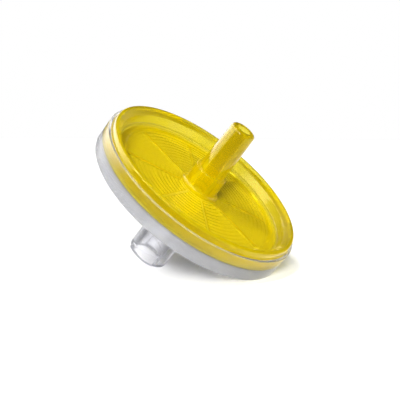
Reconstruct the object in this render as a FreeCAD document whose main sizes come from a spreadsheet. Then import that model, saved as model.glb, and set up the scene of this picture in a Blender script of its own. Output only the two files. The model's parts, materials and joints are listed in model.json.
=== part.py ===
"""Syringe filter: two moulded housings welded around a disc membrane.

The filter is drawn along its own axis, from the mouth of the inlet (height 0) up to the tip of the
outlet. Every piece then takes the same placement: the filter lies tipped over on a flat surface,
carried by the lower edge of its disc and by the end of its inlet hub.

Sizes are in millimetres, angles in degrees. Heights on the disc are measured from its underside.
"""
import FreeCAD, Part
import math
import os
import Sketcher

SIZES = {
    # clear inlet housing
    "disc_radius": 17.0,
    "cup_wall": 0.5,
    "cup_lap": 1.9,
    "cup_round": 0.12,
    "edge_round": 0.25,
    "floor_thick": 1.15,
    "shelf_width": 1.8,
    "weld_clearance": 0.05,
    "rib_height": 0.35,
    "rib_width": 0.7,
    "rib_gap": 1.7,
    "short_rib_lag": 4.6,
    "rib_count": 8,
    # inlet hub, a female luer with two lugs
    "hub_length": 12.05,
    "hub_radius": 3.35,
    "hub_fillet": 0.5,
    "mouth_radius": 2.15,
    "mouth_bevel": 0.2,
    "luer_depth": 8.5,
    "luer_slope": 0.03,
    "inlet_bore": 1.1,
    "lug_height": 0.55,
    "lug_width": 4.6,
    "lug_low_side": 1.0,
    "lug_high_side": 2.2,
    "lug_lead": 0.35,
    "lug_turn": 10.0,
    "lug_count": 2,
    "cut_margin": 0.5,
    # membrane
    "seat_clearance": 0.3,
    "membrane_thick": 0.15,
    "land_width": 1.4,
    # coloured outlet housing
    "spigot_length": 0.35,
    "rim_rise": 1.05,
    "rim_round": 0.25,
    "rim_width": 0.75,
    "rim_lip": 0.15,
    "slope_width": 0.7,
    "slope_drop": 0.75,
    "well_draft": 0.3,
    "well_fillet": 0.3,
    "ledge_width": 1.2,
    "step_width": 0.4,
    "step_depth": 0.2,
    "plate_thick": 0.9,
    "channel_count": 8,
    "channel_width": 0.6,
    "channel_depth": 0.35,
    "channel_margin": 0.1,
    "channel_turn": 3.0,
    "collector_radius": 3.2,
    "groove_gap": 0.7,
    "groove_pitch": 0.8,
    "groove_width": 0.5,
    "groove_depth": 0.12,
    # outlet tube, a male luer slip
    "tube_length": 8.3,
    "tip_radius": 1.985,
    "tip_round": 0.45,
    "outlet_bore": 1.05,
    "bore_draft": 0.15,
    "boss_rise": 3.4,
    "boss_step": 0.416,
    "boss_draft": 0.1,
    "boss_fillet": 0.8,
    "boss_round": 0.2,
}

# heights above the mouth of the inlet, each stacked on the one below
FLOOR = "sizes.hub_length + sizes.floor_thick"
LAND = FLOOR + " + sizes.rib_height"
MEMBRANE_TOP = LAND + " + sizes.membrane_thick"
CEILING = MEMBRANE_TOP + " + sizes.channel_depth"
SHELF = MEMBRANE_TOP + " + sizes.spigot_length"
CUP_TOP = SHELF + " + sizes.cup_lap"
RIM_TOP = CUP_TOP + " + sizes.rim_rise"
PLATE = MEMBRANE_TOP + " + sizes.plate_thick"
LEDGE = PLATE + " + sizes.step_depth"
BOSS_TOP = PLATE + " + sizes.boss_rise"
TIP = BOSS_TOP + " + sizes.tube_length"

# distances from the filter's axis, each stepped in from the one outside it
CUP_INNER = "sizes.disc_radius - sizes.cup_wall"
SKIRT = CUP_INNER + " - sizes.weld_clearance"
SEAT = CUP_INNER + " - sizes.shelf_width"
SPIGOT = SEAT + " - sizes.weld_clearance"
MEMBRANE_EDGE = SEAT + " - sizes.seat_clearance"
LAND_EDGE = MEMBRANE_EDGE + " - sizes.land_width"
CHANNEL_END = LAND_EDGE + " - sizes.channel_margin"
RIM_INNER = SKIRT + " - sizes.rim_width"
THROAT = RIM_INNER + " - sizes.slope_width"
WELL = THROAT + " - sizes.well_draft"
STEP_OUTER = WELL + " - sizes.ledge_width"
STEP_INNER = STEP_OUTER + " - sizes.step_width"

# distances from the filter's axis, each stepped out from the one inside it
RIB_START = "sizes.inlet_bore + sizes.rib_gap"
SHORT_RIB_START = RIB_START + " + sizes.short_rib_lag"
LUG = "sizes.hub_radius + sizes.lug_height"
FIRST_GROOVE = "sizes.collector_radius + sizes.groove_gap"
TUBE_FOOT = "sizes.tip_radius + sizes.luer_slope * sizes.tube_length"
BOSS_CREST = TUBE_FOOT + " + sizes.boss_step"
BOSS_FOOT = BOSS_CREST + " + sizes.boss_draft"

# the pose: the tilt that brings the disc's lower edge and the hub's end edge down together
TILT = "atan(sizes.hub_length / (sizes.disc_radius - sizes.hub_radius))"
REACH = ("((%s - sizes.rim_round) * cos(%s) + (%s - sizes.rim_round) * sin(%s) + sizes.rim_round)"
         % (SKIRT, TILT, RIM_TOP, TILT))
TRAIL = ("((sizes.disc_radius - sizes.edge_round) * cos(%s)"
         " - (sizes.hub_length + sizes.edge_round) * sin(%s) + sizes.edge_round)" % (TILT, TILT))
SHIFT = "(%s - %s) / 2" % (TRAIL, REACH)
LIFT = ("(sizes.hub_radius - sizes.edge_round) * sin(%s)"
        " + sizes.edge_round * (1 - cos(%s))" % (TILT, TILT))


def make_sheet(doc):
    """Put the driving sizes in a sheet, one named cell each."""
    sheet = doc.addObject("Spreadsheet::Sheet", "sizes")
    for row, (name, value) in enumerate(SIZES.items(), start=1):
        sheet.set("A%d" % row, name)
        sheet.set("B%d" % row, str(value))
        sheet.setAlias("B%d" % row, name)
    doc.recompute()


def new_body(doc, label):
    """Start a body whose label is the name of its piece."""
    body = doc.addObject("PartDesign::Body", label)
    body.Label = label
    return body


def origin_feature(body, role):
    """Find one of the planes or axes of a body's own origin."""
    return next(item for item in body.Origin.OriginFeatures if item.Role == role)


def new_sketch(body, name, role="XZ_Plane"):
    """Start a sketch on one of the planes of a body's own origin."""
    sketch = body.newObject("Sketcher::SketchObject", name)
    sketch.AttachmentSupport = [(origin_feature(body, role), "")]
    sketch.MapMode = "FlatFace"
    return sketch


def draw_outline(sketch, corners):
    """Close an outline through named corners, each placed by (radius, height) expressions."""
    count = len(corners)
    turn = 2 * math.pi / count
    spots = [FreeCAD.Vector(20 + 9 * math.cos(turn * i), 20 + 9 * math.sin(turn * i), 0)
             for i in range(count)]
    for i in range(count):
        sketch.addGeometry(Part.LineSegment(spots[i], spots[(i + 1) % count]), False)
    for i in range(count):
        sketch.addConstraint(Sketcher.Constraint("Coincident", i, 2, (i + 1) % count, 1))
    for i, (across, up) in enumerate(corners.values()):
        place(sketch, "DistanceX", i, spots[i].x, across)
        place(sketch, "DistanceY", i, spots[i].y, up)


def place(sketch, direction, line, start, expression):
    """Hold the first end of a line at a distance from the origin, set by an expression."""
    rule = sketch.addConstraint(Sketcher.Constraint(direction, -1, 1, line, 1, start))
    sketch.setExpression("Constraints[%d]" % rule, expression)


def draw_bar(sketch, inner, outer, width):
    """Draw a bar along the sketch's first axis, between two radii."""
    half = "sizes.%s / 2" % width
    draw_outline(sketch, {"near_right": (inner, "-" + half), "far_right": (outer, "-" + half),
                          "far_left": (outer, half), "near_left": (inner, half)})


def revolve(body, sketch, name, kind="PartDesign::Revolution"):
    """Turn a sketch round the filter's axis, to add or to cut."""
    turned = body.newObject(kind, name)
    turned.Profile = sketch
    turned.ReferenceAxis = (sketch, ["V_Axis"])
    turned.Angle = 360.0
    body.Tip = turned
    body.Document.recompute()
    return turned


def round_rings(body, name, size, sketch, corners, picks):
    """Round the ring edges that the picked corners of an outline made."""
    base = body.Tip
    wanted = [sketch.Geometry[list(corners).index(pick)].StartPoint for pick in picks]
    edges = []
    for number, edge in enumerate(base.Shape.Edges, start=1):
        if not isinstance(edge.Curve, Part.Circle):
            continue
        for spot in wanted:
            same_radius = abs(edge.Curve.Radius - spot.x) < 1e-4
            if same_radius and abs(edge.Curve.Center.z - spot.y) < 1e-4:
                edges.append("Edge%d" % number)
    fillet = body.newObject("PartDesign::Fillet", name)
    fillet.Base = (base, edges)
    fillet.setExpression("Radius", "sizes." + size)
    body.Tip = fillet
    body.Document.recompute()


def repeat_round(body, feature, name, occurrences):
    """Repeat a feature round the filter's axis."""
    pattern = body.newObject("PartDesign::PolarPattern", name)
    pattern.Originals = [feature]
    pattern.Axis = (origin_feature(body, "Z_Axis"), [""])
    pattern.Angle = 360
    pattern.setExpression("Occurrences", occurrences)
    body.Tip = pattern
    body.Document.recompute()


def add_ribs(body, name, inner, occurrences):
    """Raise radial ribs on the clear floor, from a radius out into the membrane's land."""
    sketch = new_sketch(body, name + "_sketch", "XY_Plane")
    sketch.setExpression("AttachmentOffset.Base.z", FLOOR)
    draw_bar(sketch, inner, SEAT, "rib_width")
    body.Document.recompute()
    rib = body.newObject("PartDesign::Pad", name)
    rib.Profile = sketch
    rib.setExpression("Length", "sizes.rib_height")
    body.Tip = rib
    body.Document.recompute()
    repeat_round(body, rib, name + "_pattern", occurrences)


def add_lugs(body):
    """Add the two lugs of the luer lock, whose locking faces rise as a screw thread does."""
    sketch = new_sketch(body, "lug_sketch")
    sketch.AttachmentOffset = FreeCAD.Placement(FreeCAD.Vector(0, 0, 0),
                                                FreeCAD.Rotation(FreeCAD.Vector(0, 1, 0), 1))
    sketch.setExpression("AttachmentOffset.Rotation.Angle", "sizes.lug_turn")
    draw_outline(sketch, {
        "low_end": ("-sizes.lug_width / 2", "0"),
        "high_end": ("sizes.lug_width / 2", "0"),
        "high_side": ("sizes.lug_width / 2", "sizes.lug_high_side"),
        "low_side": ("-sizes.lug_width / 2", "sizes.lug_low_side"),
    })
    body.Document.recompute()
    lug = body.newObject("PartDesign::Pad", "lug")
    lug.Profile = sketch
    lug.setExpression("Length", LUG + " + sizes.cut_margin")
    body.Tip = lug
    body.Document.recompute()
    repeat_round(body, lug, "lugs", "sizes.lug_count")
    crest = new_sketch(body, "lug_crest_sketch")
    beyond = LUG + " + sizes.cut_margin + sizes.lug_width / 2"
    above = "sizes.lug_high_side + sizes.cut_margin"
    draw_outline(crest, {
        "lead_start": ("sizes.hub_radius", "0"),
        "lead_end": (LUG, "sizes.lug_lead"),
        "crest_top": (LUG, above),
        "beyond_top": (beyond, above),
        "beyond_end": (beyond, "0"),
    })
    body.Document.recompute()
    revolve(body, crest, "lug_crest", "PartDesign::Groove")


def cut_inlet(body):
    """Cut the luer cone into the hub, and the channel from it to the floor."""
    sketch = new_sketch(body, "inlet_sketch")
    draw_outline(sketch, {
        "axis_end": ("0", "0"),
        "mouth": ("sizes.mouth_radius + sizes.mouth_bevel", "0"),
        "cone_top": ("sizes.mouth_radius - sizes.luer_slope * sizes.mouth_bevel", "sizes.mouth_bevel"),
        "cone_foot": ("sizes.mouth_radius - sizes.luer_slope * sizes.luer_depth", "sizes.luer_depth"),
        "bore_foot": ("sizes.inlet_bore", "sizes.luer_depth"),
        "bore_top": ("sizes.inlet_bore", LAND),
        "axis_top": ("0", LAND),
    })
    body.Document.recompute()
    revolve(body, sketch, "inlet", "PartDesign::Groove")


def build_lower_housing(doc):
    """Build the clear inlet housing: cup, floor with ribs, hub with its luer cone and lugs."""
    body = new_body(doc, "lower_housing")
    sketch = new_sketch(body, "cup_sketch")
    corners = {
        "axis_end": ("0", "0"),
        "hub_end": ("sizes.hub_radius", "0"),
        "hub_root": ("sizes.hub_radius", "sizes.hub_length"),
        "disc_edge": ("sizes.disc_radius", "sizes.hub_length"),
        "cup_outer": ("sizes.disc_radius", CUP_TOP),
        "cup_inner": (CUP_INNER, CUP_TOP),
        "shelf_foot": (CUP_INNER, SHELF),
        "seat_top": (SEAT, SHELF),
        "seat_foot": (SEAT, LAND),
        "land_edge": (LAND_EDGE, LAND),
        "land_foot": (LAND_EDGE, FLOOR),
        "axis_top": ("0", FLOOR),
    }
    draw_outline(sketch, corners)
    doc.recompute()
    revolve(body, sketch, "cup")
    round_rings(body, "hub_root_fillet", "hub_fillet", sketch, corners, ["hub_root"])
    round_rings(body, "resting_edges", "edge_round", sketch, corners, ["disc_edge", "hub_end"])
    round_rings(body, "cup_lip", "cup_round", sketch, corners, ["cup_outer", "cup_inner"])
    add_lugs(body)
    cut_inlet(body)
    add_ribs(body, "rib", RIB_START, "sizes.rib_count")
    add_ribs(body, "short_rib", SHORT_RIB_START, "sizes.rib_count * 2")
    return body


def build_membrane(doc):
    """Build the membrane, clamped between the two housings."""
    body = new_body(doc, "membrane")
    sketch = new_sketch(body, "membrane_sketch")
    draw_outline(sketch, {
        "centre_low": ("0", LAND),
        "edge_low": (MEMBRANE_EDGE, LAND),
        "edge_high": (MEMBRANE_EDGE, MEMBRANE_TOP),
        "centre_high": ("0", MEMBRANE_TOP),
    })
    doc.recompute()
    revolve(body, sketch, "membrane_disc")
    return body


def draw_channel(body):
    """Draw one radial channel, from the bore to just inside the land."""
    sketch = new_sketch(body, "channel_sketch", "XY_Plane")
    sketch.AttachmentOffset = FreeCAD.Placement(FreeCAD.Vector(0, 0, 0),
                                                FreeCAD.Rotation(FreeCAD.Vector(0, 0, 1), 1))
    sketch.setExpression("AttachmentOffset.Base.z", MEMBRANE_TOP)
    sketch.setExpression("AttachmentOffset.Rotation.Angle", "sizes.channel_turn")
    draw_bar(sketch, "sizes.outlet_bore", CHANNEL_END, "channel_width")
    body.Document.recompute()
    return sketch


def cut_channels(body, sketch):
    """Cut the radial channels that lead the filtrate to the collector."""
    channel = body.newObject("PartDesign::Pocket", "channel")
    channel.Profile = sketch
    channel.Reversed = True
    channel.setExpression("Length", "sizes.channel_depth")
    body.Tip = channel
    body.Document.recompute()
    repeat_round(body, channel, "channels", "sizes.channel_count")


def cut_grooves(body, end_radius):
    """Cut as many concentric grooves above the membrane as fit inside a radius."""
    first = SIZES["collector_radius"] + SIZES["groove_gap"]
    count = int((end_radius - first) / SIZES["groove_pitch"]) + 1
    for number in range(count):
        sketch = new_sketch(body, "groove_sketch_%02d" % (number + 1))
        middle = "%s + %d * sizes.groove_pitch" % (FIRST_GROOVE, number)
        draw_outline(sketch, {
            "inside": (middle + " - sizes.groove_width / 2", MEMBRANE_TOP),
            "outside": (middle + " + sizes.groove_width / 2", MEMBRANE_TOP),
            "crest": (middle, MEMBRANE_TOP + " + sizes.groove_depth"),
        })
        body.Document.recompute()
        revolve(body, sketch, "groove_%02d" % (number + 1), "PartDesign::Groove")


def build_upper_housing(doc):
    """Build the coloured outlet housing: skirt, rim, well, channelled plate and luer tube."""
    body = new_body(doc, "upper_housing")
    sketch = new_sketch(body, "skirt_sketch")
    corners = {
        "bore_foot": ("sizes.outlet_bore + sizes.bore_draft", CEILING),
        "collector_top": ("sizes.collector_radius", CEILING),
        "collector_edge": ("sizes.collector_radius", MEMBRANE_TOP),
        "spigot_foot": (SPIGOT, MEMBRANE_TOP),
        "spigot_root": (SPIGOT, SHELF),
        "skirt_foot": (SKIRT, SHELF),
        "rim_outer": (SKIRT, RIM_TOP),
        "rim_lip": (RIM_INNER + " + sizes.rim_lip", RIM_TOP),
        "slope_top": (RIM_INNER, RIM_TOP + " - sizes.rim_lip"),
        "slope_foot": (THROAT, RIM_TOP + " - sizes.slope_drop"),
        "well_foot": (WELL, LEDGE),
        "step_top": (STEP_OUTER, LEDGE),
        "step_foot": (STEP_INNER, PLATE),
        "boss_foot": (BOSS_FOOT, PLATE),
        "boss_top": (BOSS_CREST, BOSS_TOP),
        "tube_foot": (TUBE_FOOT, BOSS_TOP),
        "tip": ("sizes.tip_radius", TIP),
        "bore_tip": ("sizes.outlet_bore", TIP),
    }
    draw_outline(sketch, corners)
    doc.recompute()
    revolve(body, sketch, "skirt")
    round_rings(body, "rim_edge", "rim_round", sketch, corners, ["rim_outer"])
    round_rings(body, "well_corner", "well_fillet", sketch, corners, ["well_foot"])
    round_rings(body, "boss_base", "boss_fillet", sketch, corners, ["boss_foot"])
    round_rings(body, "boss_shoulder", "boss_round", sketch, corners, ["boss_top"])
    round_rings(body, "tip_edge", "tip_round", sketch, corners, ["tip"])
    channel_sketch = draw_channel(body)
    end_radius = max(line.StartPoint.x for line in channel_sketch.Geometry)
    cut_grooves(body, end_radius)
    cut_channels(body, channel_sketch)
    return body


def lay_down(bodies):
    """Give every piece the pose in which the filter comes to rest."""
    for body in bodies:
        body.Placement = FreeCAD.Placement(FreeCAD.Vector(0, 0, 1),
                                           FreeCAD.Rotation(FreeCAD.Vector(0, 1, 0), 40))
        body.setExpression("Placement.Rotation.Angle", TILT)
        body.setExpression("Placement.Base.x", SHIFT)
        body.setExpression("Placement.Base.z", LIFT)


def check_tree(doc):
    """Stop when a feature failed or a shape is not sound."""
    for item in doc.Objects:
        bad = [state for state in item.State if state in ("Invalid", "Error")]
        if bad:
            raise RuntimeError("%s is %s" % (item.Name, bad))
        if hasattr(item, "Shape") and item.isDerivedFrom("PartDesign::Feature"):
            if item.Shape.isNull() or not item.Shape.isValid():
                raise RuntimeError("%s has no sound shape" % item.Name)


def main():
    """Build the filter and write one STEP file for each piece."""
    os.makedirs("parts", exist_ok=True)
    doc = FreeCAD.newDocument("syringe_filter")
    make_sheet(doc)
    bodies = [build_lower_housing(doc), build_membrane(doc), build_upper_housing(doc)]
    lay_down(bodies)
    doc.recompute()
    check_tree(doc)
    for body in bodies:
        shape = body.Shape
        if shape.isNull() or not shape.isValid() or len(shape.Solids) != 1:
            raise RuntimeError("%s is not one sound solid" % body.Label)
        box = shape.BoundBox
        print("%-14s %7.1f mm3  x %.3f..%.3f  y %.3f..%.3f  z %.3f..%.3f" % (
            body.Label, shape.Volume, box.XMin, box.XMax, box.YMin, box.YMax, box.ZMin, box.ZMax))
        shape.exportStep("parts/%s.step" % body.Label)


main()
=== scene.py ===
"""A syringe filter at rest on a pale floor.

Three pieces are modelled upright on the filter's axis, dressed in their plastics and laid down where
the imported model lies: the clear inlet housing, the white membrane and the yellow outlet housing.
"""

from __future__ import annotations

import json
import logging
import math
import sys
from dataclasses import dataclass
from enum import Enum
from typing import Any, Callable, Sequence

import bmesh
import bpy
from mathutils import Matrix, Vector

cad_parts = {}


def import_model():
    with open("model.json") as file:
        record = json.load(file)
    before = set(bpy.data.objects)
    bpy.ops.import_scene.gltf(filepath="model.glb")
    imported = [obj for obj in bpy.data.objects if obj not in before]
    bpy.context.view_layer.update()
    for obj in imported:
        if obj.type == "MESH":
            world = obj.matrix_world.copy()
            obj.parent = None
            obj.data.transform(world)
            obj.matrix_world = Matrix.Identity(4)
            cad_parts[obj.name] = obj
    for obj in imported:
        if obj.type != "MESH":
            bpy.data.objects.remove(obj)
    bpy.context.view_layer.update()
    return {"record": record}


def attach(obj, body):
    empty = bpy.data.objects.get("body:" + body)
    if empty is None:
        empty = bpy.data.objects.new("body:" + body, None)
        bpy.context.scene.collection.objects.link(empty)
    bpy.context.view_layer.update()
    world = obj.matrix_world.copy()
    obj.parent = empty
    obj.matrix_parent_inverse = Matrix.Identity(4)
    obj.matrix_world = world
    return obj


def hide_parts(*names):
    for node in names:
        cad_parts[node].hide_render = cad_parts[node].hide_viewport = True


MM = 0.001
LOG = logging.getLogger("syringe_filter")

Colour = tuple[float, float, float]
Span = tuple[float, float]
Way = tuple[float, float, float]


# ---------------------------------------------------------------- hand work


@dataclass(frozen=True)
class Corner:
    """One corner of a turned outline, in millimetres from the axis and above the inlet's mouth."""

    radius: float
    height: float
    round: float = 0.0

    @property
    def place(self) -> Vector:
        """The corner's place on the bench, in metres."""
        return Vector((self.radius, 0.0, self.height)) * MM


@dataclass(frozen=True)
class Bar:
    """One spoke: its reach from the axis, its width and its heights, in millimetres."""

    inner: float
    outer: float
    width: float
    low: float
    high: float


class Cut(Enum):
    """What a tool piece does to the piece it meets."""

    REMOVE = "DIFFERENCE"
    JOIN = "UNION"


def take(piece: bpy.types.Object) -> None:
    """Select one object alone and make it the active one.

    Args:
        piece: the object.
    """
    bpy.ops.object.select_all(action="DESELECT")
    piece.select_set(True)
    bpy.context.view_layer.objects.active = piece


@dataclass(frozen=True)
class Bench:
    """Models pieces upright with the operations a modeller uses by hand.

    Attributes:
        turns: steps in a full turn about the axis.
        round_steps: segments across a rounded corner.
        corner_reach: how near a vertex lies to the corner it belongs to, in millimetres.
        merge_reach: how near two vertices lie that become one, in millimetres.
        slice_reach: how exactly a plane cuts, in millimetres.
        smooth_angle: the sharpest bend that is shaded smooth, in degrees.
    """

    turns: int = 180
    round_steps: int = 5
    corner_reach: float = 1e-3
    merge_reach: float = 2e-3
    slice_reach: float = 1e-5
    smooth_angle: float = 32.0

    def point(self, name: str, place: Vector) -> bpy.types.Object:
        """Start a piece as one vertex and stay in edit mode.

        Args:
            name: the piece's name.
            place: where the vertex lies, in metres.

        Returns:
            The new object.
        """
        bpy.ops.object.select_all(action="DESELECT")
        bpy.ops.mesh.primitive_plane_add(size=MM)
        piece = bpy.context.object
        piece.name = piece.data.name = name
        bpy.ops.object.mode_set(mode="EDIT")
        bpy.ops.mesh.select_mode(type="VERT")
        bpy.ops.mesh.select_all(action="SELECT")
        bpy.ops.mesh.merge(type="CENTER")
        bpy.ops.transform.translate(value=place)
        return piece

    def pick(self, piece: bpy.types.Object, wanted: Callable[[Vector], bool]) -> None:
        """Select the vertices whose place is wanted, and nothing else.

        Args:
            piece: the object in edit mode.
            wanted: tells whether a place in millimetres is wanted.
        """
        bpy.ops.mesh.select_all(action="DESELECT")
        mesh = bmesh.from_edit_mesh(piece.data)
        for vertex in mesh.verts:
            if wanted(vertex.co / MM):
                vertex.select_set(True)
        mesh.select_flush(True)
        bmesh.update_edit_mesh(piece.data)

    def trace(self, name: str, outline: Sequence[Corner], closed: bool = True) -> bpy.types.Object:
        """Draw an outline beside the axis and round its corners.

        Args:
            name: the piece's name.
            outline: its corners in order.
            closed: whether the last corner joins the first.

        Returns:
            The object, in edit mode.
        """
        piece = self.point(name, outline[0].place)
        for here, there in zip(outline, outline[1:]):
            bpy.ops.mesh.extrude_vertices_move(
                MESH_OT_extrude_verts_indiv={}, TRANSFORM_OT_translate={"value": there.place - here.place})
        if closed:
            ends = (outline[0].place / MM, outline[-1].place / MM)
            self.pick(piece, lambda at: min((at - end).length for end in ends) < self.corner_reach)
            bpy.ops.mesh.edge_face_add()
        count = len(outline)
        for index, corner in enumerate(outline):
            if corner.round <= 0:
                continue
            before = (outline[index - 1].place - corner.place).normalized()
            after = (outline[(index + 1) % count].place - corner.place).normalized()
            reach = corner.round / math.tan(before.angle(after) / 2)
            centre = corner.place / MM
            self.pick(piece, lambda at: (at - centre).length < self.corner_reach)
            bpy.ops.mesh.bevel(offset=reach * MM, segments=self.round_steps, affect="VERTICES")
        return piece

    def turn(self, name: str, outline: Sequence[Corner], closed: bool = True) -> bpy.types.Object:
        """Turn an outline about the axis into a solid.

        Args:
            name: the piece's name.
            outline: its corners in order.
            closed: whether the outline is a closed loop away from the axis.

        Returns:
            The finished object, in object mode.
        """
        piece = self.trace(name, outline, closed)
        bpy.ops.mesh.select_all(action="SELECT")
        bpy.ops.mesh.spin(steps=self.turns, angle=math.tau, center=(0, 0, 0), axis=(0, 0, 1))
        self.close(piece)
        return piece

    def close(self, piece: bpy.types.Object) -> None:
        """Merge doubles, face every side outwards and leave edit mode.

        Args:
            piece: the object in edit mode.
        """
        bpy.ops.mesh.select_all(action="SELECT")
        bpy.ops.mesh.remove_doubles(threshold=self.merge_reach * MM)
        bpy.ops.mesh.normals_make_consistent(inside=False)
        bpy.ops.object.mode_set(mode="OBJECT")

    def slice(self, place: Way, outwards: Way) -> None:
        """Cut what is in edit mode with a plane, drop what lies beyond it and close the cut.

        Args:
            place: a point of the plane, in millimetres.
            outwards: the way that is dropped.
        """
        bpy.ops.mesh.select_all(action="SELECT")
        bpy.ops.mesh.bisect(plane_co=Vector(place) * MM, plane_no=outwards, use_fill=True,
                            clear_outer=True, threshold=self.slice_reach * MM)

    def repeat(self, count: int) -> None:
        """Set copies of what is in edit mode around the axis.

        Args:
            count: how many there are then, the first among them.
        """
        bpy.ops.mesh.select_all(action="SELECT")
        bpy.ops.mesh.spin(steps=count - 1, dupli=True, angle=math.tau * (count - 1) / count,
                          center=(0, 0, 0), axis=(0, 0, 1))

    def bars(self, name: str, bar: Bar, count: int, start: float = 0.0) -> bpy.types.Object:
        """Set equal bars around the axis like spokes.

        Args:
            name: the object's name.
            bar: the sizes of each.
            count: how many there are.
            start: the angle of the first, in degrees.

        Returns:
            One object that holds all the bars.
        """
        bpy.ops.object.select_all(action="DESELECT")
        middle = Vector(((bar.inner + bar.outer) / 2, 0.0, (bar.low + bar.high) / 2)) * MM
        bpy.ops.mesh.primitive_cube_add(size=MM, location=middle,
                                        scale=(bar.outer - bar.inner, bar.width, bar.high - bar.low))
        piece = bpy.context.object
        piece.name = piece.data.name = name
        bpy.ops.object.transform_apply(location=True, rotation=False, scale=True)
        bpy.ops.object.mode_set(mode="EDIT")
        self.repeat(count)
        bpy.ops.object.mode_set(mode="OBJECT")
        piece.rotation_euler = (0.0, 0.0, math.radians(start))
        bpy.ops.object.transform_apply(location=False, rotation=True, scale=False)
        return piece

    def shape_with(self, piece: bpy.types.Object, tool: bpy.types.Object, cut: Cut) -> None:
        """Remove a tool piece from a piece, or join it on, and put the tool away.

        Args:
            piece: the piece that stays.
            tool: the piece that is used up.
            cut: whether it removes or joins.
        """
        take(piece)
        work = piece.modifiers.new("cut", "BOOLEAN")
        work.operation = cut.value
        work.solver = "EXACT"
        work.object = tool
        bpy.ops.object.modifier_apply(modifier=work.name)
        bpy.data.objects.remove(tool, do_unlink=True)

    def smooth(self, piece: bpy.types.Object) -> None:
        """Shade a piece smooth, apart from its sharp bends."""
        take(piece)
        bpy.ops.object.shade_smooth_by_angle(angle=math.radians(self.smooth_angle))


@dataclass(frozen=True)
class Resting:
    """Where the filter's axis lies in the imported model."""

    mouth: Vector
    axis: Vector

    @classmethod
    def read(cls, record: dict[str, Any]) -> "Resting":
        """Take the axis from the record's mounts.

        Args:
            record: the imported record.

        Returns:
            The resting pose.
        """
        mounts = {mount["name"]: mount for mount in record["mounts"]}
        return cls(Vector(mounts["inlet_hub"]["pos_m"]), Vector(mounts["outlet_nozzle"]["axis"]).normalized())

    @property
    def tilt(self) -> float:
        """How far the axis leans over, in radians."""
        return math.atan2(self.axis.x, self.axis.z)

    def matrix(self) -> Matrix:
        """The move from the upright bench pose to the resting pose."""
        return Matrix.Translation(self.mouth) @ Matrix.Rotation(self.tilt, 4, "Y")

    def lay(self, piece: bpy.types.Object) -> None:
        """Lay a piece down, with its place in its mesh.

        Args:
            piece: the upright piece.
        """
        take(piece)
        piece.matrix_world = self.matrix() @ piece.matrix_world
        bpy.ops.object.transform_apply(location=True, rotation=True, scale=True)


# ---------------------------------------------------------------- finishes


class Wire:
    """A shader socket that takes part in arithmetic: each operator adds a Math node."""

    def __init__(self, graph: "Graph", socket: bpy.types.NodeSocket) -> None:
        """Keep the graph and the socket."""
        self.graph = graph
        self.socket = socket

    def _math(self, operation: str, first: Any, second: Any) -> "Wire":
        """Add one Math node of the given operation on two values."""
        return self.graph.add("ShaderNodeMath", {"operation": operation}, {0: first, 1: second})

    def __add__(self, other: Any) -> "Wire":
        """Add."""
        return self._math("ADD", self, other)

    __radd__ = __add__

    def __mul__(self, other: Any) -> "Wire":
        """Multiply."""
        return self._math("MULTIPLY", self, other)

    __rmul__ = __mul__

    def __sub__(self, other: Any) -> "Wire":
        """Subtract."""
        return self._math("SUBTRACT", self, other)

    def __rsub__(self, other: Any) -> "Wire":
        """Subtract from a number."""
        return self._math("SUBTRACT", other, self)


class Ray(Enum):
    """The kinds of light path that a finish tells apart."""

    CAMERA = "Is Camera Ray"
    LAMP = "Is Shadow Ray"
    MIRRORED = "Is Glossy Ray"
    PASSED = "Is Transmission Ray"


class Graph:
    """A node tree that is filled through one method.

    Some nodes give several sockets the same name, and those sockets go by number.
    """

    MIX_SHARE = 0
    MIX_FIRST = 6
    MIX_SECOND = 7
    MIX_RESULT = 2

    def __init__(self, owner: Any) -> None:
        """Empty the owner's node tree and keep it.

        Args:
            owner: a material or a world.
        """
        owner.use_nodes = True
        self.tree = owner.node_tree
        self.tree.nodes.clear()

    def add(self, kind: str, settings: dict[str, Any] | None = None,
            inputs: dict[Any, Any] | None = None, output: Any = 0) -> Wire | None:
        """Add a node, set it up and connect it.

        Args:
            kind: the node's type.
            settings: the node's own settings.
            inputs: values or wires for its sockets, by name or number.
            output: the name or number of the socket that is handed back.

        Returns:
            The node's output, or None where it has none.
        """
        node = self.tree.nodes.new(kind)
        for name, value in (settings or {}).items():
            setattr(node, name, value)
        for name, value in (inputs or {}).items():
            if isinstance(value, Wire):
                self.tree.links.new(value.socket, node.inputs[name])
            else:
                node.inputs[name].default_value = value
        return Wire(self, node.outputs[output]) if len(node.outputs) else None

    def ray(self, kind: Ray) -> Wire:
        """Give one on rays of a kind and zero on the others."""
        return self.add("ShaderNodeLightPath", output=kind.value)

    def fade(self, value: Wire, span: Span) -> Wire:
        """Run smoothly from zero at the first value of a span to one at the second.

        Args:
            value: the level that is read.
            span: two levels, in either order.

        Returns:
            A level from zero to one.
        """
        start, end = (0.0, 1.0) if span[0] < span[1] else (1.0, 0.0)
        return self.add("ShaderNodeMapRange", {"interpolation_type": "SMOOTHSTEP"}, {
            "Value": value, "From Min": min(span), "From Max": max(span), "To Min": start, "To Max": end})

    def blend(self, share: Wire, first: Any, second: Any) -> Wire:
        """Mix two colours by a share."""
        return self.add("ShaderNodeMix", {"data_type": "RGBA"}, {
            self.MIX_SHARE: share, self.MIX_FIRST: first, self.MIX_SECOND: second}, self.MIX_RESULT)

    def either(self, share: Wire, first: Wire, second: Wire) -> Wire:
        """Mix two shaders by a share."""
        return self.add("ShaderNodeMixShader", {}, {"Fac": share, 1: first, 2: second})


def shaded(colour: Colour, level: float = 1.0) -> tuple[float, float, float, float]:
    """Darken a colour to a level and make it opaque."""
    return (*(part * level for part in colour), 1.0)


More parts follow.
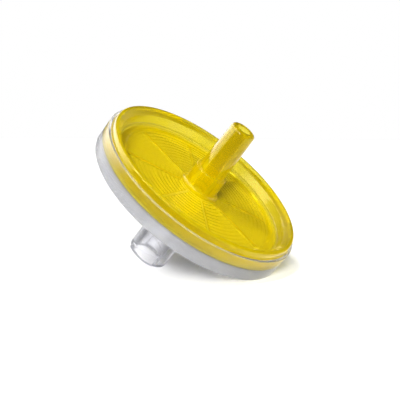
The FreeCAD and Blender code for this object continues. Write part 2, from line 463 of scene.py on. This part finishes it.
class Grain:
    """The fine marks of one finish, laid out from the filter's axis."""

    def __init__(self, graph: Graph, resting: Resting) -> None:
        """Find a point's place in the upright filter.

        Args:
            graph: the finish's nodes.
            resting: where the filter's axis lies.
        """
        self.graph = graph
        self.place = graph.add("ShaderNodeMapping", {"vector_type": "TEXTURE"}, {
            "Vector": graph.add("ShaderNodeTexCoord", output="Object"),
            "Location": resting.mouth, "Rotation": (0.0, resting.tilt, 0.0)})

    def noise(self, size: float, detail: float) -> Wire:
        """Add a noise whose spots are of a given size.

        Args:
            size: the width of a spot in millimetres.
            detail: how many finer layers it has.

        Returns:
            A level around one half.
        """
        return self.graph.add("ShaderNodeTexNoise", {"noise_dimensions": "3D"}, {
            "Vector": self.place, "Scale": 1.0 / (size * MM), "Detail": detail}, "Fac")

    def frost(self, span: Span) -> Wire:
        """Fade from zero to one between two heights above the inlet's mouth, in millimetres."""
        height = self.graph.add("ShaderNodeSeparateXYZ", {}, {"Vector": self.place}, "Z")
        return self.graph.fade(height, (span[0] * MM, span[1] * MM))

    def bump(self, level: Wire, depth: float) -> Wire:
        """Raise the surface by a level, to a depth in millimetres."""
        return self.graph.add("ShaderNodeBump", {}, {
            "Height": level, "Strength": 1.0, "Distance": depth * MM})


@dataclass(frozen=True)
class PaleMarks:
    """The places where a clear plastic looks pale: a painted reflection along its weld, its matt edge and its
    frosted hub.

    Attributes:
        weld_sheen_span: the heights between which the painted reflection along the weld begins.
        weld_sheen_share: how pale that painted reflection is.
        matt_span: the heights between which the matt edge begins.
        matt_end: the heights between which it ends, the upper one first.
        matt_share: how pale the matt edge is.
        frost_share: how pale the frosted part is.
        colour: the pale colour.
        roughness: its least roughness.
        roughness_swing: how much rougher it gets in waves.
    """

    weld_sheen_span: Span
    weld_sheen_share: float
    matt_span: Span
    matt_end: Span
    matt_share: float
    frost_share: float
    colour: Colour
    roughness: float
    roughness_swing: float

    def over(self, body: Wire, grain: Grain, frost: Wire, wave: Wire) -> Wire:
        """Lay the marks over a plastic.

        Args:
            body: the plastic's shader.
            grain: where the marks lie.
            frost: one on the frosted part and zero elsewhere.
            wave: the plastic's waves.

        Returns:
            The shader with the marks.
        """
        # The pale line along the weld is a painted reflection of the bright surroundings, laid evenly all
        # round the joint.
        weld_sheen = grain.frost(self.weld_sheen_span) * self.weld_sheen_share
        matt = grain.frost(self.matt_span) * grain.frost(self.matt_end)
        share = weld_sheen + self.matt_share * matt + self.frost_share * frost
        pale = grain.graph.add("ShaderNodeBsdfPrincipled", {}, {
            "Base Color": shaded(self.colour), "Roughness": self.roughness + self.roughness_swing * wave})
        return grain.graph.either(share, body, pale)


@dataclass(frozen=True)
class HazyPlastic:
    """A transparent moulded plastic with a slight haze inside and one part that is frosted.

    Attributes:
        name: the material's name.
        tint: the colour of light that passes its surface.
        lamp_tint: what it lets through of a lamp's light.
        depth_colour: the colour that thick walls take.
        depth_density: how fast they take it, for each metre.
        haze_colour: the colour of its haze.
        haze_density: how dense the haze is, for each metre.
        frost_span: the heights between which the frost begins, in millimetres.
        frost_roughness: how rough the frosted part is.
        frost_shade: how dark the frosted part is.
        mirror: the strength and colour of its reflections.
        marks: its pale marks, if it has any.
        ior: how strongly it bends light.
        roughness: the roughness of its plain surface.
        haze_forward: how far the haze sends light on ahead.
        flow_size: the width of a flow mark in millimetres.
        flow_detail: the flow marks' finer layers.
        flow_shade: how dark a flow mark is.
        flow_roughness: how rough a flow mark is.
        wave_size: the width of a wave in millimetres.
        wave_detail: the waves' finer layers.
        wave_depth: how deep a wave is in millimetres.
        wave_least: the frost's share where the waves are low.
        wave_swing: what the waves add to it.
    """

    name: str
    tint: Colour
    lamp_tint: Colour
    depth_colour: Colour
    depth_density: float
    haze_colour: Colour
    haze_density: float
    frost_span: Span
    frost_roughness: float
    frost_shade: float = 1.0
    mirror: Colour = (0.5, 0.5, 0.5)
    marks: PaleMarks | None = None
    ior: float = 1.53
    roughness: float = 0.05
    haze_forward: float = 0.3
    flow_size: float = 3.0
    flow_detail: float = 2.0
    flow_shade: float = 0.93
    flow_roughness: float = 0.02
    wave_size: float = 1.4
    wave_detail: float = 3.0
    wave_depth: float = 0.002
    wave_least: float = 0.9
    wave_swing: float = 0.2

    def material(self, resting: Resting) -> bpy.types.Material:
        """Build the plastic.

        Args:
            resting: where the filter's axis lies, for the flow marks.

        Returns:
            The node material.
        """
        made = bpy.data.materials.new(self.name)
        graph = Graph(made)
        grain = Grain(graph, resting)
        frost = grain.frost(self.frost_span)
        wave = grain.noise(self.wave_size, self.wave_detail)
        body = self.surface(grain, frost, wave)
        if self.marks:
            body = self.marks.over(body, grain, frost, wave)
        lamp = graph.add("ShaderNodeBsdfTransparent", {}, {"Color": shaded(self.lamp_tint)})
        graph.add("ShaderNodeOutputMaterial", {}, {
            "Surface": graph.either(graph.ray(Ray.LAMP), body, lamp), "Volume": self.inside(graph)})
        return made

    def surface(self, grain: Grain, frost: Wire, wave: Wire) -> Wire:
        """Build what light meets first.

        Args:
            grain: where the flow marks lie.
            frost: one on the frosted part and zero elsewhere.
            wave: the waves of the moulded surface.

        Returns:
            The surface's shader.
        """
        flow = grain.noise(self.flow_size, self.flow_detail)
        colour = grain.graph.blend(flow, shaded(self.tint), shaded(self.tint, self.flow_shade))
        frosting = self.frost_roughness * frost * (self.wave_least + self.wave_swing * wave)
        return grain.graph.add("ShaderNodeBsdfPrincipled", {}, {
            "Base Color": grain.graph.blend(frost, colour, shaded(self.tint, self.frost_shade)),
            "Roughness": self.roughness + self.flow_roughness * flow + frosting,
            "IOR": self.ior, "Transmission Weight": 1.0, "Specular Tint": shaded(self.mirror),
            "Normal": grain.bump(wave, self.wave_depth)})

    def inside(self, graph: Graph) -> Wire:
        """Build the colour that depth gives, and the haze.

        Args:
            graph: the material's nodes.

        Returns:
            The volume's shader.
        """
        depth = graph.add("ShaderNodeVolumeAbsorption", {}, {
            "Color": shaded(self.depth_colour), "Density": self.depth_density})
        haze = graph.add("ShaderNodeVolumeScatter", {}, {
            "Color": shaded(self.haze_colour), "Density": self.haze_density,
            "Anisotropy": self.haze_forward})
        return graph.add("ShaderNodeAddShader", {}, {0: depth, 1: haze})


@dataclass(frozen=True)
class MembraneWhite:
    """The matt white of a porous membrane.

    Attributes:
        name: the material's name.
        colour: its colour between the pores.
        pore_size: the width of a pore in millimetres.
        pore_detail: the pores' finer layers.
        pore_depth: how deep a pore is in millimetres.
        pore_shade: how dark a pore is.
        roughness: the least roughness.
        pore_roughness: how much rougher a pore is.
    """

    name: str = "membrane_white"
    colour: Colour = (0.68, 0.68, 0.67)
    pore_size: float = 0.12
    pore_detail: float = 4.0
    pore_depth: float = 0.01
    pore_shade: float = 0.9
    roughness: float = 0.6
    pore_roughness: float = 0.3

    def material(self, resting: Resting) -> bpy.types.Material:
        """Build the membrane's finish.

        Args:
            resting: where the filter's axis lies, for the pores.

        Returns:
            The node material.
        """
        made = bpy.data.materials.new(self.name)
        graph = Graph(made)
        grain = Grain(graph, resting)
        pores = grain.noise(self.pore_size, self.pore_detail)
        body = graph.add("ShaderNodeBsdfPrincipled", {}, {
            "Base Color": graph.blend(pores, shaded(self.colour), shaded(self.colour, self.pore_shade)),
            "Roughness": self.roughness + self.pore_roughness * pores,
            "Normal": grain.bump(pores, self.pore_depth)})
        graph.add("ShaderNodeOutputMaterial", {}, {"Surface": body})
        return made


# ---------------------------------------------------------------- pieces


@dataclass(frozen=True)
class InletHousing:
    """The clear inlet moulding: floor, welding shelf, cup wall, ribs and luer hub. Sizes in millimetres."""

    # cup and disc
    disc_radius: float = 16.997
    wall: float = 0.497
    cup_top: float = 15.95
    cup_round: float = 0.12
    edge_round: float = 0.25
    # seat of the membrane
    shelf: float = 14.05
    seat_radius: float = 14.7
    seat_round: float = 0.05
    land: float = 13.55
    land_inner: float = 13.0
    floor: float = 13.2
    inner_round: float = 0.1
    # hub with its cone and bore
    hub_length: float = 12.05
    hub_radius: float = 3.35
    hub_fillet: float = 0.5
    mouth_radius: float = 2.15
    mouth_bevel: float = 0.2
    mouth_round: float = 0.08
    cone_depth: float = 8.5
    cone_slope: float = 0.03
    cone_round: float = 0.2
    bore: float = 1.1
    bore_round: float = 0.15
    # ribs under the membrane; they lap onto the land, root in the floor and end a drop below the land
    rib_count: int = 8
    rib_width: float = 0.7
    rib_start: float = 2.8
    short_rib_start: float = 7.4
    rib_lap: float = 0.3
    rib_root: float = 0.2
    rib_drop: float = 0.01
    # lock lugs, rooted in the hub a step from its mouth; a sloped cut takes off their spare height
    lug_count: int = 2
    lug_radius: float = 3.9
    lug_width: float = 4.6
    lug_low_side: float = 1.0
    lug_high_side: float = 2.2
    lug_lead: float = 0.35
    lug_turn: float = 10.0
    lug_root: float = 0.25
    lug_step: float = 0.02
    lug_spare: float = 1.0
    lug_foot_round: float = 0.05
    lug_lead_round: float = 0.1

    def outline(self) -> list[Corner]:
        """The closed outline that turns into cup, floor and hub."""
        cup_inner = self.disc_radius - self.wall
        cone_foot = self.mouth_radius - self.cone_slope * self.cone_depth
        return [
            Corner(self.mouth_radius + self.mouth_bevel, 0.0, self.mouth_round),
            Corner(self.hub_radius, 0.0, self.edge_round),
            Corner(self.hub_radius, self.hub_length, self.hub_fillet),
            Corner(self.disc_radius, self.hub_length, self.edge_round),
            Corner(self.disc_radius, self.cup_top, self.cup_round),
            Corner(cup_inner, self.cup_top, self.cup_round),
            Corner(cup_inner, self.shelf, self.inner_round),
            Corner(self.seat_radius, self.shelf, self.seat_round),
            Corner(self.seat_radius, self.land, self.seat_round),
            Corner(self.land_inner, self.land, self.inner_round),
            Corner(self.land_inner, self.floor, self.inner_round),
            Corner(self.bore, self.floor, self.bore_round),
            Corner(self.bore, self.cone_depth, self.inner_round),
            Corner(cone_foot, self.cone_depth, self.cone_round),
            Corner(self.mouth_radius, self.mouth_bevel, self.mouth_round),
        ]

    def lugs(self, bench: Bench) -> bpy.types.Object:
        """Model the lock lugs, whose far faces rise like a right-handed thread.

        Args:
            bench: the bench to work on.

        Returns:
            The lugs in one object.
        """
        inner = self.hub_radius - self.lug_root
        top = self.lug_high_side + self.lug_spare
        lug = bench.turn("lug", [
            Corner(inner, self.lug_step),
            Corner(self.hub_radius + self.lug_step, self.lug_step, self.lug_foot_round),
            Corner(self.lug_radius, self.lug_lead, self.lug_lead_round),
            Corner(self.lug_radius, top),
            Corner(inner, top)])
        half = self.lug_width / 2
        rise = (self.lug_high_side - self.lug_low_side) / self.lug_width
        middle = (self.lug_high_side + self.lug_low_side) / 2
        bpy.ops.object.mode_set(mode="EDIT")
        bench.slice((0, 1, 0), (0, -1, 0))
        bench.slice((half, 0, 0), (1, 0, 0))
        bench.slice((-half, 0, 0), (-1, 0, 0))
        bench.slice((0, 0, middle), (rise, 0, 1))
        bench.repeat(self.lug_count)
        bench.close(lug)
        lug.rotation_euler = (0.0, 0.0, math.radians(self.lug_turn))
        return lug

    def build(self, bench: Bench) -> bpy.types.Object:
        """Model the whole housing upright.

        Args:
            bench: the bench to work on.

        Returns:
            The housing.
        """
        piece = bench.turn("inlet_housing", self.outline())
        bench.shape_with(piece, self.lugs(bench), Cut.JOIN)
        for start, angle in ((self.rib_start, 0.0), (self.short_rib_start, 180.0 / self.rib_count)):
            rib = Bar(start, self.land_inner + self.rib_lap, self.rib_width,
                      self.floor - self.rib_root, self.land - self.rib_drop)
            bench.shape_with(piece, bench.bars("ribs", rib, self.rib_count, angle), Cut.JOIN)
        bench.smooth(piece)
        return piece


@dataclass(frozen=True)
class Membrane:
    """The filter disc between the housings. Sizes in millimetres."""

    radius: float = 14.4
    low: float = 13.57
    high: float = 13.68
    edge_round: float = 0.02

    def build(self, bench: Bench) -> bpy.types.Object:
        """Model the membrane upright.

        Args:
            bench: the bench to work on.

        Returns:
            The membrane.
        """
        piece = bench.turn("filter_membrane", [
            Corner(0.0, self.low),
            Corner(self.radius, self.low, self.edge_round),
            Corner(self.radius, self.high, self.edge_round),
            Corner(0.0, self.high)], closed=False)
        bench.smooth(piece)
        return piece


@dataclass(frozen=True)
class OutletHousing:
    """The yellow outlet moulding: skirt, rim, well, channelled plate and luer tube. Sizes in millimetres."""

    # skirt inside the cup, and the spigot that holds the membrane
    skirt_radius: float = 16.52
    skirt_foot: float = 14.03
    skirt_round: float = 0.1
    spigot_radius: float = 14.65
    weld_top: float = 15.85
    weld_step: float = 0.08
    weld_round: float = 0.02
    # rim and well
    rim_radius: float = 16.44
    rim_top: float = 17.0
    rim_round: float = 0.25
    rim_flat_inner: float = 15.7
    rim_lip: float = 0.15
    lip_round: float = 0.05
    throat: float = 15.0
    throat_drop: float = 0.75
    throat_round: float = 0.15
    well_radius: float = 14.7
    well_round: float = 0.3
    # stepped plate
    ledge: float = 14.8
    step_outer: float = 13.5
    step_inner: float = 13.1
    step_round: float = 0.06
    plate: float = 14.6
    underside: float = 13.7
    # channels; their cutting bars lap into the collector and reach spare below the underside
    ceiling: float = 14.05
    collector_radius: float = 3.2
    collector_round: float = 0.08
    collector_edge: float = 0.04
    channel_count: int = 8
    channel_width: float = 0.6
    channel_outer: float = 12.9
    channel_turn: float = 3.0
    channel_lap: float = 0.3
    channel_spare: float = 0.5
    channel_drop: float = 0.01
    # concentric grooves
    groove_inner: float = 3.9
    groove_pitch: float = 0.8
    groove_count: int = 12
    groove_width: float = 0.6
    groove_depth: float = 0.03
    groove_edge: float = 0.2
    groove_crest: float = 0.3
    # boss and tube
    boss_radius: float = 2.75
    boss_draft: float = 0.1
    boss_fillet: float = 0.8
    boss_round: float = 0.2
    boss_top: float = 18.0
    tube_round: float = 0.08
    tip: float = 26.3
    tip_radius: float = 1.985
    tip_round: float = 0.45
    taper: float = 0.03
    bore_tip: float = 1.05
    bore_tip_round: float = 0.06
    bore_foot: float = 1.2
    bore_foot_round: float = 0.15

    def grooves(self) -> list[Corner]:
        """The outline of the concentric grooves over the membrane, from the axis outwards.

        Returns:
            Three corners for each groove.
        """
        corners = []
        for number in range(self.groove_count):
            middle = self.groove_inner + number * self.groove_pitch
            corners += [
                Corner(middle - self.groove_width / 2, self.underside, self.groove_edge),
                Corner(middle, self.underside + self.groove_depth, self.groove_crest),
                Corner(middle + self.groove_width / 2, self.underside, self.groove_edge)]
        return corners

    def outline(self) -> list[Corner]:
        """The closed outline that turns into skirt, rim, plate and tube."""
        tube_foot = self.tip_radius + self.taper * (self.tip - self.boss_top)
        return [
            Corner(self.bore_foot, self.ceiling, self.bore_foot_round),
            Corner(self.collector_radius, self.ceiling, self.collector_round),
            Corner(self.collector_radius, self.underside, self.collector_edge),
            *self.grooves(),
            Corner(self.spigot_radius, self.underside, self.skirt_round),
            Corner(self.spigot_radius, self.skirt_foot, self.skirt_round),
            Corner(self.skirt_radius, self.skirt_foot, self.skirt_round),
            Corner(self.skirt_radius, self.weld_top, self.weld_round),
            Corner(self.rim_radius, self.weld_top + self.weld_step, self.weld_round),
            Corner(self.rim_radius, self.rim_top, self.rim_round),
            Corner(self.rim_flat_inner + self.rim_lip, self.rim_top, self.lip_round),
            Corner(self.rim_flat_inner, self.rim_top - self.rim_lip, self.lip_round),
            Corner(self.throat, self.rim_top - self.throat_drop, self.throat_round),
            Corner(self.well_radius, self.ledge, self.well_round),
            Corner(self.step_outer, self.ledge, self.step_round),
            Corner(self.step_inner, self.plate, self.step_round),
            Corner(self.boss_radius, self.plate, self.boss_fillet),
            Corner(self.boss_radius - self.boss_draft, self.boss_top, self.boss_round),
            Corner(tube_foot, self.boss_top, self.tube_round),
            Corner(self.tip_radius, self.tip, self.tip_round),
            Corner(self.bore_tip, self.tip, self.bore_tip_round),
        ]

    def build(self, bench: Bench) -> bpy.types.Object:
        """Model the whole housing upright.

        Args:
            bench: the bench to work on.

        Returns:
            The housing.
        """
        piece = bench.turn("outlet_housing", self.outline())
        channel = Bar(self.collector_radius - self.channel_lap, self.channel_outer, self.channel_width,
                      self.underside - self.channel_spare, self.ceiling - self.channel_drop)
        channels = bench.bars("channels", channel, self.channel_count, self.channel_turn)
        bench.shape_with(piece, channels, Cut.REMOVE)
        bench.smooth(piece)
        return piece


# ---------------------------------------------------------------- floor, light and camera


@dataclass(frozen=True)
class Lamp:
    """A soft far light.

    Attributes:
        name: the lamp's name.
        energy: its strength on a face that looks straight at it.
        spread: the angle across it in degrees.
        travel: where its light goes: right, away and up as seen by the camera.
    """

    name: str
    energy: float
    spread: float
    travel: Way


@dataclass(frozen=True)
class Studio:
    """The pale floor, the soft lamps and the camera.

    Attributes:
        heading: the way the camera looks, in degrees about the upright.
        drop: how far it looks down, in degrees.
        stand: where it stands, in millimetres.
        lens: its lens in millimetres.
        sensor: the width of its sensor in millimetres.
        clip: the nearest and the farthest that it sees, in metres.
        front: the way towards the camera: right, away and up.
        left: the way to the camera's left.
        floor_size: the floor's width in metres.
        floor_pale: the floor's level to the eye.
        floor_dull: its level in the light that it throws back.
        near_span: how far in front of the filter the floor darkens in the plastic, in metres.
        near_loss: how much it darkens there.
        horizon: the heights between which the white horizon gives way to the ceiling.
        ceiling: the ceiling's level.
        room_share: the share of the room's light that falls on things.
        behind_span: how far round to the camera's side the room darkens in the plastic.
        behind_loss: how much it darkens there.
        box_glow: the strength of the soft box that only mirrors.
        box_side: how far to the left it begins and is full.
        box_foot: the heights at which it begins and is full.
        box_head: the heights at which it ends and is still full.
        haze_bounces: how often light turns inside a haze.
        key: the low lamp that gives the long shadow.
        top: the lamp overhead that gives the shadow under the disc.
    """

    heading: float = 30.998
    drop: float = 5.167
    stand: Way = (60.209, -99.628, 21.595)
    lens: float = 68.32
    sensor: float = 36.0
    clip: Span = (0.001, 10.0)
    front: Way = (0.0, -1.0, 0.0)
    left: Way = (-1.0, 0.0, 0.0)
    floor_size: float = 3.0
    floor_pale: float = 0.98
    floor_dull: float = 0.45
    near_span: Span = (0.012, 0.03)
    near_loss: float = 0.85
    horizon: Span = (0.42, 0.17)
    ceiling: float = 0.1
    room_share: float = 0.3
    behind_span: Span = (0.0, 0.4)
    behind_loss: float = 0.85
    box_glow: float = 5.0
    box_side: Span = (-0.1, 0.5)
    box_foot: Span = (0.15, 0.4)
    box_head: Span = (1.3, 0.9)
    haze_bounces: int = 6
    key: Lamp = Lamp("key", 5.6, 20.0, (0.08, 2.2, -1.0))
    top: Lamp = Lamp("top", 2.0, 15.0, (0.3, 0.5, -1.0))

    def build(self) -> None:
        """Build the floor, the world, the lamps and the camera."""
        self.floor()
        self.world()
        for lamp in (self.key, self.top):
            self.sun(lamp)
        self.camera()
        bpy.context.scene.cycles.volume_bounces = self.haze_bounces
        bpy.context.scene.view_settings.view_transform = "Standard"

    def floor(self) -> None:
        """Lay the floor, white to the eye and duller in the light it throws back."""
        bpy.ops.object.select_all(action="DESELECT")
        bpy.ops.mesh.primitive_plane_add(size=self.floor_size, location=(0, 0, 0))
        plane = bpy.context.object
        plane.name = "floor"
        made = bpy.data.materials.new("floor_white")
        graph = Graph(made)
        place = graph.add("ShaderNodeTexCoord", output="Object")
        near = graph.fade(self.along(graph, place, self.front), self.near_span)
        camera = graph.ray(Ray.CAMERA)
        passed = graph.ray(Ray.PASSED)
        caught = (1.0 - camera) * (passed + graph.ray(Ray.MIRRORED) * (1.0 - passed))
        gain = self.floor_pale - self.floor_dull
        level = self.floor_dull + camera * gain + caught * (gain - self.near_loss * near)
        body = graph.add("ShaderNodeBsdfDiffuse", {}, {"Color": level})
        graph.add("ShaderNodeOutputMaterial", {}, {"Surface": body})
        plane.data.materials.append(made)

    def world(self) -> None:
        """Surround the floor with a white horizon, a dark ceiling and a soft box that only mirrors."""
        world = bpy.data.worlds.new("studio")
        bpy.context.scene.world = world
        graph = Graph(world)
        heading = graph.add("ShaderNodeTexCoord", output="Generated")
        height = graph.add("ShaderNodeSeparateXYZ", {}, {"Vector": heading}, "Z")
        camera = graph.ray(Ray.CAMERA)
        passed = graph.ray(Ray.PASSED)
        level = self.ceiling + (1.0 - self.ceiling) * graph.fade(height, self.horizon)
        level = level * (self.room_share + (1.0 - self.room_share) * (passed + camera))
        behind = graph.fade(self.along(graph, heading, self.front), self.behind_span)
        level = level * (1.0 - self.behind_loss * behind * (1.0 - camera))
        box = graph.fade(self.along(graph, heading, self.left), self.box_side)
        box = box * graph.fade(height, self.box_foot) * graph.fade(height, self.box_head)
        mirrored = graph.ray(Ray.MIRRORED) * (1.0 - passed)
        level = level + self.box_glow * mirrored * box
        glow = graph.add("ShaderNodeBackground", {}, {"Color": (1, 1, 1, 1), "Strength": level})
        graph.add("ShaderNodeOutputWorld", {}, {"Surface": glow})

    def turned(self, way: Way) -> Vector:
        """Turn a way given as right, away and up by the camera's heading."""
        return Matrix.Rotation(math.radians(self.heading), 3, "Z") @ Vector(way)

    def along(self, graph: Graph, place: Wire, way: Way) -> Wire:
        """Measure a place along a way given as right, away and up."""
        return graph.add("ShaderNodeVectorMath", {"operation": "DOT_PRODUCT"},
                         {0: place, 1: self.turned(way)}, "Value")

    def sun(self, lamp: Lamp) -> None:
        """Add one soft far light that doesn't show in reflections.

        Args:
            lamp: the light's strength, size and travel.
        """
        made = bpy.data.lights.new(lamp.name, "SUN")
        made.energy = lamp.energy
        made.angle = math.radians(lamp.spread)
        item = bpy.data.objects.new(lamp.name, made)
        bpy.context.scene.collection.objects.link(item)
        item.rotation_euler = self.turned(lamp.travel).to_track_quat("-Z", "Y").to_euler()
        item.visible_glossy = False

    def camera(self) -> None:
        """Set the camera where the view is taken from."""
        made = bpy.data.cameras.new("camera")
        made.lens = self.lens
        made.sensor_width = self.sensor
        made.clip_start, made.clip_end = self.clip
        item = bpy.data.objects.new("camera", made)
        bpy.context.scene.collection.objects.link(item)
        item.rotation_euler = (math.pi / 2 - math.radians(self.drop), 0.0, math.radians(self.heading))
        item.location = Vector(self.stand) * MM
        bpy.context.scene.camera = item


# ---------------------------------------------------------------- the filter


@dataclass(frozen=True)
class Filter:
    """The whole filter: builds, dresses and lays down its three pieces."""

    clear: HazyPlastic = HazyPlastic(
        name="clear_plastic",
        tint=(0.96, 0.96, 0.98),
        lamp_tint=(0.72, 0.72, 0.74),
        depth_colour=(0.8, 0.8, 0.95),
        depth_density=30.0,
        haze_colour=(0.97, 0.97, 1.0),
        haze_density=60.0,
        frost_span=(12.6, 11.6),
        frost_roughness=0.1,
        marks=PaleMarks(
            # the pale line along the weld is a painted reflection of the bright surroundings
            weld_sheen_span=(15.76, 15.9),
            weld_sheen_share=0.12,
            matt_span=(12.1, 12.2),
            matt_end=(14.1, 13.95),
            matt_share=0.17,
            frost_share=0.05,
            colour=(0.85, 0.86, 0.9),
            roughness=0.4,
            roughness_swing=0.2))
    yellow: HazyPlastic = HazyPlastic(
        name="yellow_plastic",
        tint=(0.99, 0.9, 0.2),
        lamp_tint=(0.415, 0.415, 0.44),
        depth_colour=(0.99, 0.94, 0.0),
        depth_density=1100.0,
        haze_colour=(1.0, 0.9, 0.01),
        haze_density=520.0,
        frost_span=(18.0, 23.0),
        frost_roughness=0.06,
        frost_shade=0.8,
        mirror=(0.85, 0.75, 0.35))
    white: MembraneWhite = MembraneWhite()

    def build(self, resting: Resting) -> None:
        """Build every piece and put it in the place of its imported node.

        Args:
            resting: where the filter's axis lies.
        """
        bench = Bench()
        plan = (
            (InletHousing(), "lower_housing", "clear_plastic", self.clear),
            (Membrane(), "membrane", "membrane_white", self.white),
            (OutletHousing(), "upper_housing", "yellow_plastic", self.yellow))
        for maker, node, slot, finish in plan:
            piece = maker.build(bench)
            resting.lay(piece)
            piece.data.materials.clear()
            piece.data.materials.append(finish.material(resting))
            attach(piece, "root")
            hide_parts(node)
            LOG.info("%s: %d faces in place of %s", piece.name, len(piece.data.polygons), node)


def main() -> None:
    """Build the filter and its studio."""
    logging.basicConfig(level=logging.INFO, format="%(name)s: %(message)s", stream=sys.stdout)
    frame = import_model()
    Filter().build(Resting.read(frame["record"]))
    Studio().build()


if __name__ == "__main__":
    main()
